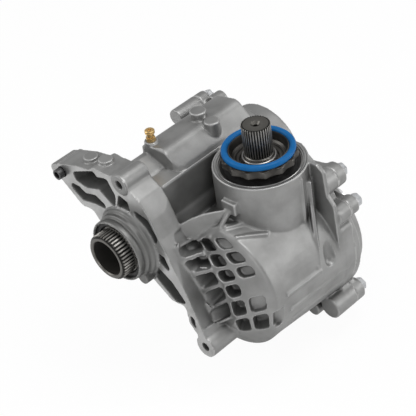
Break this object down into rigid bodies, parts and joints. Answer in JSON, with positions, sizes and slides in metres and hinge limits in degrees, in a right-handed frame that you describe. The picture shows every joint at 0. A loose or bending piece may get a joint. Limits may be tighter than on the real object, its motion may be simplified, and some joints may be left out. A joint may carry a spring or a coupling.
{
  "type": "transfer case",
  "caption": "Right angle transfer case with hollow splined input shaft, helical and spiral bevel gears, upright splined output in a scalloped collar and a ribbed cast housing",
  "frame": {"origin": "input shaft axis at the plane of the mounting face", "axes": "+X along the input axis from the mounting face to the side cover, +Z along the output shaft towards its end, -Y from the input axis towards the cross shaft and the pocketed end wall"},
  "size_m": [0.2305, 0.2501, 0.2465],
  "materials": {
    "cast_aluminium": "as cast with machined faces",
    "dark_steel": "dark heat treated steel",
    "bearing_steel": "ground",
    "fastener_steel": "zinc plated",
    "black_steel": "blackened",
    "seal_rubber": "matte",
    "blue_rubber": "satin",
    "brass": "plain"
  },
  "bodies": {
    "housing": {"main_housing": "cast_aluminium", "side_cover": "cast_aluminium", "cover_bolts": "fastener_steel", "cover_dowels": "fastener_steel", "flange_dowel": "black_steel", "breather_vent": "brass", "fill_plug": "fastener_steel", "drain_plug": "fastener_steel", "plug_washers": "brass", "input_seal": "seal_rubber", "halfshaft_seal": "seal_rubber", "pinion_seal": "seal_rubber", "needle_cup": "bearing_steel", "ball_outer_race": "bearing_steel", "left_cup": "bearing_steel", "right_cup": "bearing_steel", "right_shim": "bearing_steel", "head_cup": "bearing_steel", "head_shim": "bearing_steel", "tail_cup": "bearing_steel"},
    "input": {"input_shaft": "dark_steel", "input_gear": "bearing_steel", "ball_inner_race": "bearing_steel"},
    "cross": {"cross_shaft": "bearing_steel", "transfer_gear": "bearing_steel", "ring_gear": "bearing_steel", "ring_gear_bolts": "fastener_steel", "left_cone": "bearing_steel", "right_cone": "bearing_steel"},
    "pinion": {"pinion_shaft": "dark_steel", "head_cone": "bearing_steel", "tail_cone": "bearing_steel", "crush_sleeve": "bearing_steel", "output_collar": "dark_steel", "blue_seal_ring": "blue_rubber", "pinion_nut": "fastener_steel"},
    "needle_set": {"needle_rollers": "bearing_steel"},
    "ball_set": {"bearing_balls": "bearing_steel"},
    "left_set": {"left_rollers": "bearing_steel"},
    "right_set": {"right_rollers": "bearing_steel"},
    "head_set": {"head_rollers": "bearing_steel"},
    "tail_set": {"tail_rollers": "bearing_steel"}
  },
  "joints": [
    {"name": "cross_spin", "type": "hinge", "parent": "housing", "child": "cross", "pos_m": [0.1, -0.072, -0.054], "axis": [1, 0, 0], "continuous": true},
    {"name": "input_spin", "type": "hinge", "parent": "housing", "child": "input", "pos_m": [0.1, 0, 0], "axis": [1, 0, 0], "continuous": true},
    {"name": "pinion_spin", "type": "hinge", "parent": "housing", "child": "pinion", "pos_m": [0.116, -0.072, 0.02], "axis": [0, 0, 1], "continuous": true},
    {"name": "needle_orbit", "type": "hinge", "parent": "housing", "child": "needle_set", "pos_m": [0.002, 0, 0], "axis": [1, 0, 0], "continuous": true},
    {"name": "ball_orbit", "type": "hinge", "parent": "housing", "child": "ball_set", "pos_m": [0.18, 0, 0], "axis": [1, 0, 0], "continuous": true},
    {"name": "left_orbit", "type": "hinge", "parent": "housing", "child": "left_set", "pos_m": [0.05, -0.072, -0.054], "axis": [1, 0, 0], "continuous": true},
    {"name": "right_orbit", "type": "hinge", "parent": "housing", "child": "right_set", "pos_m": [0.165, -0.072, -0.054], "axis": [1, 0, 0], "continuous": true},
    {"name": "head_orbit", "type": "hinge", "parent": "housing", "child": "head_set", "pos_m": [0.116, -0.072, 0.013], "axis": [0, 0, 1], "continuous": true},
    {"name": "tail_orbit", "type": "hinge", "parent": "housing", "child": "tail_set", "pos_m": [0.116, -0.072, 0.04], "axis": [0, 0, 1], "continuous": true}
  ],
  "couplings": [
    {"joint": "input_spin", "follows": "cross_spin", "ratio": -0.81818},
    {"joint": "pinion_spin", "follows": "cross_spin", "ratio": 2.4667},
    {"joint": "needle_orbit", "follows": "cross_spin", "ratio": -0.38831},
    {"joint": "ball_orbit", "follows": "cross_spin", "ratio": -0.3663},
    {"joint": "left_orbit", "follows": "cross_spin", "ratio": 0.4335},
    {"joint": "right_orbit", "follows": "cross_spin", "ratio": 0.432},
    {"joint": "head_orbit", "follows": "cross_spin", "ratio": 1.0375},
    {"joint": "tail_orbit", "follows": "cross_spin", "ratio": 1.0323}
  ]
}
